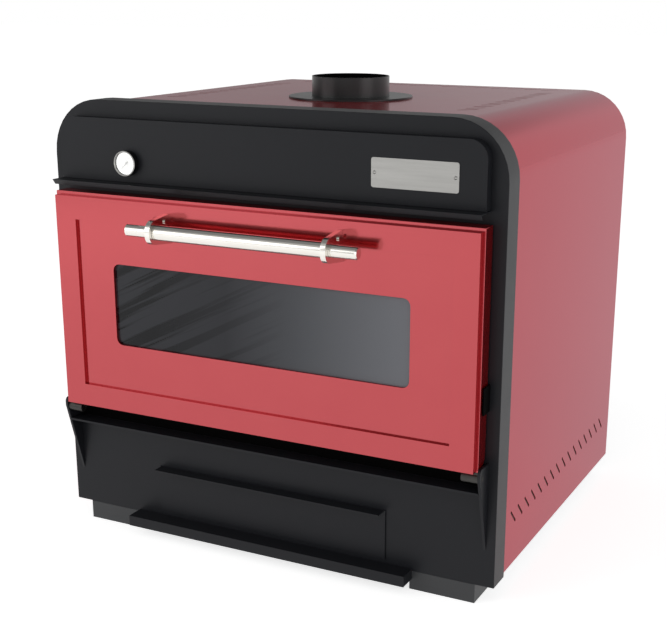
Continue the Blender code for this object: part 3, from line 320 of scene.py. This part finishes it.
low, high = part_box("flue_collar")
flue_centre = Vector(((low.x + high.x) / 2, (low.y + high.y) / 2, 0))
tube, bore, lip = 0.075, 0.073, 0.0005
collar = turned(
    "flue_tube",
    [
        (tube, low.z),
        (tube, high.z - lip),
        (tube - lip, high.z),
        (bore + lip, high.z),
        (bore, high.z - lip),
        (bore, low.z),
    ],
    flue_centre,
    (0, 0, 1),
    "oven_body",
    "flue_collar",
)
low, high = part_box("flue_flange")
rim, hole = 0.120, 0.0753
flange = turned(
    "flue_ring",
    [(rim, low.z), (rim, high.z - lip), (rim - lip, high.z), (hole, high.z), (hole, low.z)],
    flue_centre,
    (0, 0, 1),
    "oven_body",
    "flue_flange",
)
finish(stove_enamel, "black_enamel", collar, flange)
# The bore is dull with soot.
collar.data.materials.append(soot_and_painted_shade)
for polygon in collar.data.polygons:
    reach = (polygon.center.xy - flue_centre.xy).length
    if reach < bore + lip / 2 and abs(polygon.normal.z) < 0.5:
        polygon.material_index = 1


# Fascia, drip ledge and nameplate
# The fascia is a shallow folded tray with rounded top corners, over a ledge whose front edge is
# folded down and back to shed drips. A plain brushed stainless plate is riveted to it.
finish(
    black_powder_coat,
    "black_enamel",
    rounded("fascia_tray", "fascia_panel", "oven_body", radius=0.0012, segments=3),
    rounded("drip_fold", "drip_ledge", "oven_body", radius=0.0006),
)
# Brushing leaves lines along the plate, about 0.3 mm apart and drawn at 1 mm, so that they show.
brushed_stainless = surface(
    "brushed_stainless", "#B4B3B0", "#9D9C99",
    patch=6, rough=(0.34, 0.46), grain=1.0, depth=0.01, stretch=(0.06, 1, 1), Metallic=1.0,
)
plate = rounded("bare_nameplate", "nameplate", "oven_body", radius=0.0003)
finish(
    brushed_stainless, "brushed_steel", plate, "nameplate_rivet_left", "nameplate_rivet_right"
)


# Thermometer
# A black steel cup, white inside, holds a white enamelled dial, a pointer and a flat lens under a
# thin bright ring. The stem behind it reaches through the fascia into the firebox.
low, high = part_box("thermometer_case")
cup_centre = Vector(((low.x + high.x) / 2, high.y, (low.z + high.z) / 2))
cup, wall, deep = 0.023, 0.0205, 0.0108
ring_seat, ring_edge, ring_top = deep + 0.0003, deep + 0.0014, deep + 0.0022
ring_slope, ring_bevel = 0.0008, 0.0006
case = rounded("thermometer_cup", "thermometer_case", "oven_body", radius=0.0003)
finish(stove_enamel, "black_enamel", case)
crown = turned(
    "thermometer_ring",
    [
        (cup, ring_seat),
        (cup, ring_edge),
        (cup - ring_slope, ring_top),
        (wall + ring_bevel, ring_top),
        (wall, ring_edge),
        (wall, ring_seat),
    ],
    cup_centre,
    (0, -1, 0),
    "oven_body",
    "thermometer_bezel",
)
finish(brushed_stainless, "brushed_steel", crown, "thermometer_stem")
glowing_dial_enamel = surface(
    "white_dial_enamel_painted_glow", "#FAFAF8", "#F5F5F2",
    patch=20, rough=(0.35, 0.42), grain=1.5, depth=0.004,
)
# A weak painted glow keeps the dial and its collar white inside the cup's shade.
dial_shader = glowing_dial_enamel.node_tree.nodes["Principled BSDF"]
dial_shader.inputs["Emission Color"].default_value = linear("#FFFFFF")
dial_shader.inputs["Emission Strength"].default_value = 0.45
dial_gap, lens_gap = 0.0001, 0.0002
dial_face = cup_centre.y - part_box("thermometer_dial")[0].y + dial_gap
lens_back = cup_centre.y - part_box("thermometer_lens")[1].y - lens_gap
collar_out, collar_in = 0.0203, 0.0194
inside = turned(
    "thermometer_white_collar",
    [
        (collar_out, dial_face),
        (collar_out, lens_back),
        (collar_in, lens_back),
        (collar_in, dial_face),
    ],
    cup_centre,
    (0, -1, 0),
    "oven_body",
)
finish(glowing_dial_enamel, "white_enamel", "thermometer_dial", inside)
# The pointer is stamped from thin steel and has a pale satin finish.
pointer_steel = surface(
    "satin_pointer_steel", "#D2D2D0", "#C4C4C2",
    patch=5, rough=(0.34, 0.42), grain=0.6, depth=0.004, Metallic=0.6,
)
finish(pointer_steel, "dark_steel", "thermometer_needle")
# Clear float glass shows only a few soft reflections and a thin veil of dust.
lens_glass = bpy.data.materials.new("clear_lens_glass")
lens_glass.use_nodes = True
lens_shader = lens_glass.node_tree.nodes["Principled BSDF"]
lens_shader.inputs["Roughness"].default_value = 0.03
lens_shader.inputs["Base Color"].default_value = linear("#FAFBFB")
dust = add(
    lens_glass,
    "ShaderNodeTexNoise",
    {
        "Vector": add(lens_glass, "ShaderNodeTexCoord", {}).outputs["Object"],
        "Scale": 1000 / 3,
        "Detail": 4,
    },
).outputs[0]
veil = add(lens_glass, "ShaderNodeMapRange", {"Value": dust, "To Min": 0.05, "To Max": 0.12})
lens_glass.node_tree.links.new(veil.outputs[0], lens_shader.inputs["Alpha"])
finish(lens_glass, "glass", "thermometer_lens")


# Door
# A shallow red tray with a pressed recess stands on the turned-in rim of a deeper red pan, which
# reaches past it at the top and sides. A stainless liner and a woven seal close the oven.
skin = rounded("door_front_sheet", "door_skin", "door", radius=0.0005)
pan = rounded("door_tray", "door_pan", "door", radius=0.0009)
finish(red_powder_coat, "red_enamel", skin, pan)
finish(black_powder_coat, "black_enamel", "door_inner_frame")
# The seal's glass fibre yarn is greyed by graphite, and its weave is coarse and matt.
rope = surface(
    "woven_glass_fibre_seal", "#3A3A38", "#262625",
    patch=3, rough=(0.86, 0.95), grain=1.5, depth=0.4,
)
finish(rope, "woven_seal", "door_seal")


# Window
# Two panes of tempered glass are held apart by the mineral board ring. The outer pane is dark
# grey, with a painted reflection that lightens it towards its right end.
pane_glass = bpy.data.materials.new("tempered_glass_with_painted_reflection")
pane_glass.use_nodes = True
pane_shader = pane_glass.node_tree.nodes["Principled BSDF"]
spot = add(pane_glass, "ShaderNodeTexCoord", {}).outputs["Object"]
split = add(pane_glass, "ShaderNodeSeparateXYZ", {"Vector": spot})
low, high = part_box("door_glass_outer")
across = add(
    pane_glass,
    "ShaderNodeMapRange",
    {"Value": split.outputs["X"], "From Min": low.x, "From Max": high.x},
).outputs[0]
# This ramp is a painted reflection: the pane grows lighter towards its right end.
painted_reflection_ramp = add(pane_glass, "ShaderNodeValToRGB", {"Fac": across})
tones = painted_reflection_ramp.color_ramp.elements
tones[0].color = linear("#38393E")
tones[1].color = linear("#8A8C92")
tones.new(0.4).color = linear("#37383D")
tones.new(0.62).color = linear("#595B60")
# Painted streaks of grill bars seen through, 12 mm apart, climb to the right, mostly at the left.
bar_slant = add(
    pane_glass,
    "ShaderNodeMapping",
    {"Vector": spot, "Rotation": (0, math.radians(-26), 0), "Scale": (0.4, 1, 0.012)},
    vector_type="TEXTURE",
).outputs[0]
painted_bar_streak = add(pane_glass, "ShaderNodeTexNoise", {"Vector": bar_slant, "Scale": 1.0, "Detail": 2})
fading = add(
    pane_glass,
    "ShaderNodeMapRange",
    {"Value": across, "From Min": 0.15, "From Max": 0.6, "To Min": 1.0, "To Max": 0.0},
).outputs[0]
sharp = add(
    pane_glass,
    "ShaderNodeMapRange",
    {"Value": painted_bar_streak.outputs[0], "From Min": 0.5, "From Max": 0.58},
).outputs[0]
painted_bar_mask = add(pane_glass, "ShaderNodeMath", {0: sharp, 1: fading}, operation="MULTIPLY")
pane_colour = add(
    pane_glass,
    "ShaderNodeMix",
    {0: painted_bar_mask.outputs[0], 6: painted_reflection_ramp.outputs["Color"], 7: linear("#15161A")},
    data_type="RGBA",
)
pane_glass.node_tree.links.new(pane_colour.outputs[2], pane_shader.inputs["Base Color"])
pane_shader.inputs["Roughness"].default_value = 0.1
pane_shader.inputs["IOR"].default_value = 1.3
pane_shader.inputs["Transmission Weight"].default_value = 0.15
finish(pane_glass, "glass", rounded("outer_pane", "door_glass_outer", "door", radius=0.0008))
finish(lens_glass, "glass", "door_glass_inner")


# Handle
# A polished stainless bar runs through a thicker polished sleeve and two plate brackets, each
# with one cross screw. The bar's ends are chamfered.
# The polish leaves a warm white mirror with soft edges.
polished_stainless = surface(
    "polished_stainless", "#EEEBE5", "#E4E1DA",
    patch=25, rough=(0.14, 0.2), grain=1.0, depth=0.002, Metallic=1.0,
)
low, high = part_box("handle_rod")
bar_axis = Vector((0, (low.y + high.y) / 2, (low.z + high.z) / 2))
thick, end, cut = 0.011, high.x, 0.002
bar = turned(
    "handle_bar",
    [
        (0, end),
        (thick - cut, end),
        (thick, end - cut),
        (thick, cut - end),
        (thick - cut, -end),
        (0, -end),
    ],
    bar_axis,
    (1, 0, 0),
    "door",
    "handle_rod",
    steps=48,
)
low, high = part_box("handle_sleeve")
outer, inner, soft = 0.0137, 0.0113, 0.0006
sleeve = turned(
    "handle_grip_tube",
    [
        (outer, soft + low.x),
        (outer, high.x - soft),
        (outer - soft, high.x),
        (inner, high.x),
        (inner, low.x),
        (outer - soft, low.x),
    ],
    bar_axis,
    (1, 0, 0),
    "door",
    "handle_sleeve",
    steps=48,
)
finish(polished_stainless, "polished_steel", bar, sleeve)
for side in ("left", "right"):
    ear = rounded("handle_plate_" + side, "handle_bracket_" + side, "door", radius=0.0008)
    finish(polished_stainless, "polished_steel", ear)
finish(polished_stainless, "stainless", "bracket_screw_left", "bracket_screw_right")


# Hinges, gussets, keepers and sill
# Turned steel barrels under the door's corners run on pins held by two triangular gussets. The
# gussets, keepers and sill are cut from plate and coated with the frame. Oil and heat have
# darkened the bare barrels.
oiled_steel = surface(
    "oiled_steel", "#4E4D4B", "#3D3C3A",
    patch=12, rough=(0.4, 0.52), grain=0.9, depth=0.01, Metallic=1.0,
)
for side in ("left", "right"):
    barrel = rounded("hinge_knuckle_" + side, "hinge_barrel_" + side, "door", radius=0.0006)
    finish(oiled_steel, "brushed_steel", barrel, "hinge_pin_" + side)
    gusset = rounded("hinge_gusset_" + side, "gusset_" + side, "oven_body", radius=0.0008)
    finish(black_powder_coat, "black_enamel", gusset)
    # The keepers get the near-black as painted shade, for the door's shade that falls on them.
    keeper = rounded("door_keeper_" + side, "catch_keeper_" + side, "oven_body", radius=0.0006)
    finish(soot_and_painted_shade, "black_enamel", keeper)
sill = rounded("door_sill", "sill_shelf", "oven_body", radius=0.0006)
finish(black_powder_coat, "black_enamel", sill)


# Ash drawer and ash lip
# A galvanised tray on folded guides has a black front with a grip flange turned forwards along
# its top. The lip under it is a bent sheet that catches what spills.
tray_front = rounded("drawer_face", "ash_drawer_front", "ash_drawer", radius=0.0006)
spill_lip = rounded("spill_lip", "ash_lip", "oven_body", radius=0.0005)
finish(black_powder_coat, "black_enamel", tray_front, spill_lip)
finish(galvanised, "galvanised", "ash_drawer_tray", "drawer_guide_left", "drawer_guide_right")


# Floor, backdrop light and lamps
# A plain white paper sweep is seen as white by the camera and in gloss and glass, and keeps the
# oven's soft shadow. A large softbox stands before the oven to its left, a small one at its
# right. The surround is white low down, dimmer on the far left, and dark overhead.
def is_seen(material):
    """1 for what the camera sees directly, in gloss or through glass, and 0 for other light."""
    path = add(material, "ShaderNodeLightPath", {})
    gloss = add(
        material,
        "ShaderNodeMath",
        {0: path.outputs["Is Camera Ray"], 1: path.outputs["Is Glossy Ray"]},
        operation="MAXIMUM",
    )
    return add(
        material,
        "ShaderNodeMath",
        {0: gloss.outputs[0], 1: path.outputs["Is Transmission Ray"]},
        operation="MAXIMUM",
    ).outputs[0]


work = bmesh.new()
floor_reach = 30
bmesh.ops.create_grid(work, x_segments=1, y_segments=1, size=floor_reach)
floor_mesh = bpy.data.meshes.new("studio_floor")
work.to_mesh(floor_mesh)
work.free()
floor = bpy.data.objects.new("studio_floor", floor_mesh)
bpy.context.scene.collection.objects.link(floor)
paper = bpy.data.materials.new("white_paper_floor")
paper.use_nodes = True
paper_shader = paper.node_tree.nodes["Principled BSDF"]
paper_shader.inputs["Base Color"].default_value = linear("#F2F2F2")
paper_shader.inputs["Roughness"].default_value = 0.9
paper_shader.inputs["Specular IOR Level"].default_value = 0
paper_shader.inputs["Emission Color"].default_value = linear("#FFFFFF")
seen_strength = 0.72
glow = add(
    paper, "ShaderNodeMath", {0: is_seen(paper), 1: seen_strength}, operation="MULTIPLY"
)
paper.node_tree.links.new(glow.outputs[0], paper_shader.inputs["Emission Strength"])
floor_mesh.materials.append(paper)

scene = bpy.context.scene
world = bpy.data.worlds.new("studio_surround")
scene.world = world
world.use_nodes = True
backdrop = world.node_tree.nodes["Background"]
direction = add(world, "ShaderNodeTexCoord", {}).outputs["Generated"]
split = add(world, "ShaderNodeSeparateXYZ", {"Vector": direction})
behind = add(
    world,
    "ShaderNodeMapRange",
    {
        "Value": split.outputs["X"],
        "From Min": -0.45,
        "From Max": 0.15,
        "To Min": 0.42,
        "To Max": 0.98,
    },
).outputs[0]
sky = add(
    world,
    "ShaderNodeMapRange",
    {
        "Value": split.outputs["Z"],
        "From Min": 0.3,
        "From Max": 0.5,
        "To Min": behind,
        "To Max": 0.22,
    },
).outputs[0]
front_wall = add(
    world,
    "ShaderNodeMapRange",
    {
        "Value": split.outputs["Y"],
        "From Min": -0.1,
        "From Max": -0.5,
        "To Min": 0.0,
        "To Max": 0.5,
    },
).outputs[0]
dimmed = add(world, "ShaderNodeMath", {0: sky, 1: front_wall}, operation="MAXIMUM").outputs[0]
straight = add(world, "ShaderNodeLightPath", {}).outputs["Is Camera Ray"]
level = add(world, "ShaderNodeMath", {0: straight, 1: dimmed}, operation="MAXIMUM")
backdrop.inputs["Color"].default_value = linear("#FFFFFF")
world.node_tree.links.new(level.outputs[0], backdrop.inputs["Strength"])


def softbox(name, place, target, width, height, power):
    """A rectangular lamp of a size in metres and a power in watts, turned to its target."""
    lamp = bpy.data.lights.new(name, "AREA")
    lamp.shape = "RECTANGLE"
    lamp.size, lamp.size_y, lamp.energy = width, height, power
    stand = bpy.data.objects.new(name, lamp)
    stand.location = place
    stand.rotation_euler = (Vector(target) - Vector(place)).to_track_quat("-Z", "Y").to_euler()
    scene.collection.objects.link(stand)


softbox(
    "front_softbox", place=(-3.2, -3.2, 2.0), target=(0, -0.3, 0.5),
    width=3.6, height=2.6, power=43,
)
softbox(
    "right_softbox", place=(3.4, -0.9, 0.9), target=(0.3, 0, 0.45),
    width=2.0, height=1.4, power=10,
)


# Camera
# A long lens with a little rise stands in front of the oven and to its right, just above its
# top, and looks down on it at the photograph's angle.
lens = bpy.data.cameras.new("camera")
camera = bpy.data.objects.new("camera", lens)
scene.collection.objects.link(camera)
scene.camera = camera
yaw, pitch, roll = math.radians(-26.611), math.radians(-16.486), math.radians(0.146)
ahead = Vector((math.sin(yaw) * math.cos(pitch), math.cos(yaw) * math.cos(pitch), math.sin(pitch)))
level_right = ahead.cross(Vector((0, 0, 1))).normalized()
level_up = level_right.cross(ahead)
right = math.cos(roll) * level_right + math.sin(roll) * level_up
up = right.cross(ahead)
aim = Matrix((right, up, -ahead)).transposed().to_4x4()
camera.matrix_world = Matrix.Translation((1.0992, -2.1711, 1.0280)) @ aim
lens.sensor_fit = "HORIZONTAL"
lens.sensor_width = 36
lens.lens = 66.94
lens.shift_x = -0.0241
lens.shift_y = 0.0627
lens.clip_start, lens.clip_end = 0.05, 100
scene.view_settings.view_transform = "Standard"
